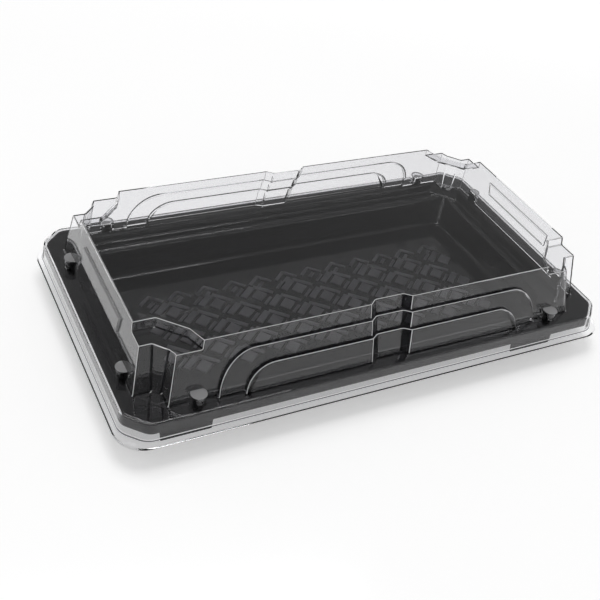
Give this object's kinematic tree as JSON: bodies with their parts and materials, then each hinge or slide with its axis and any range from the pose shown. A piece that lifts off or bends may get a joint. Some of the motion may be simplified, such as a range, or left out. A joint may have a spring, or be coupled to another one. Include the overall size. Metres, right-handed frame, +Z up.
{
  "type": "takeaway sushi tray",
  "caption": "Shallow rectangular black plastic takeaway tray with a woven pattern on its floor, closed by a clear stepped lid.",
  "frame": {"origin": "centre of the underside of the tray's floor, on the surface it stands on", "axes": "+X along the long side, +Y to the back along the short side, +Z up through the lid"},
  "size_m": [0.238, 0.1356, 0.0449],
  "materials": {
    "black_plastic": "glossy black thermoformed sheet",
    "clear_plastic": "clear thermoformed sheet, glossy"
  },
  "bodies": {
    "root": {"tray_base": "black_plastic", "lid": "clear_plastic"}
  },
  "joints": []
}
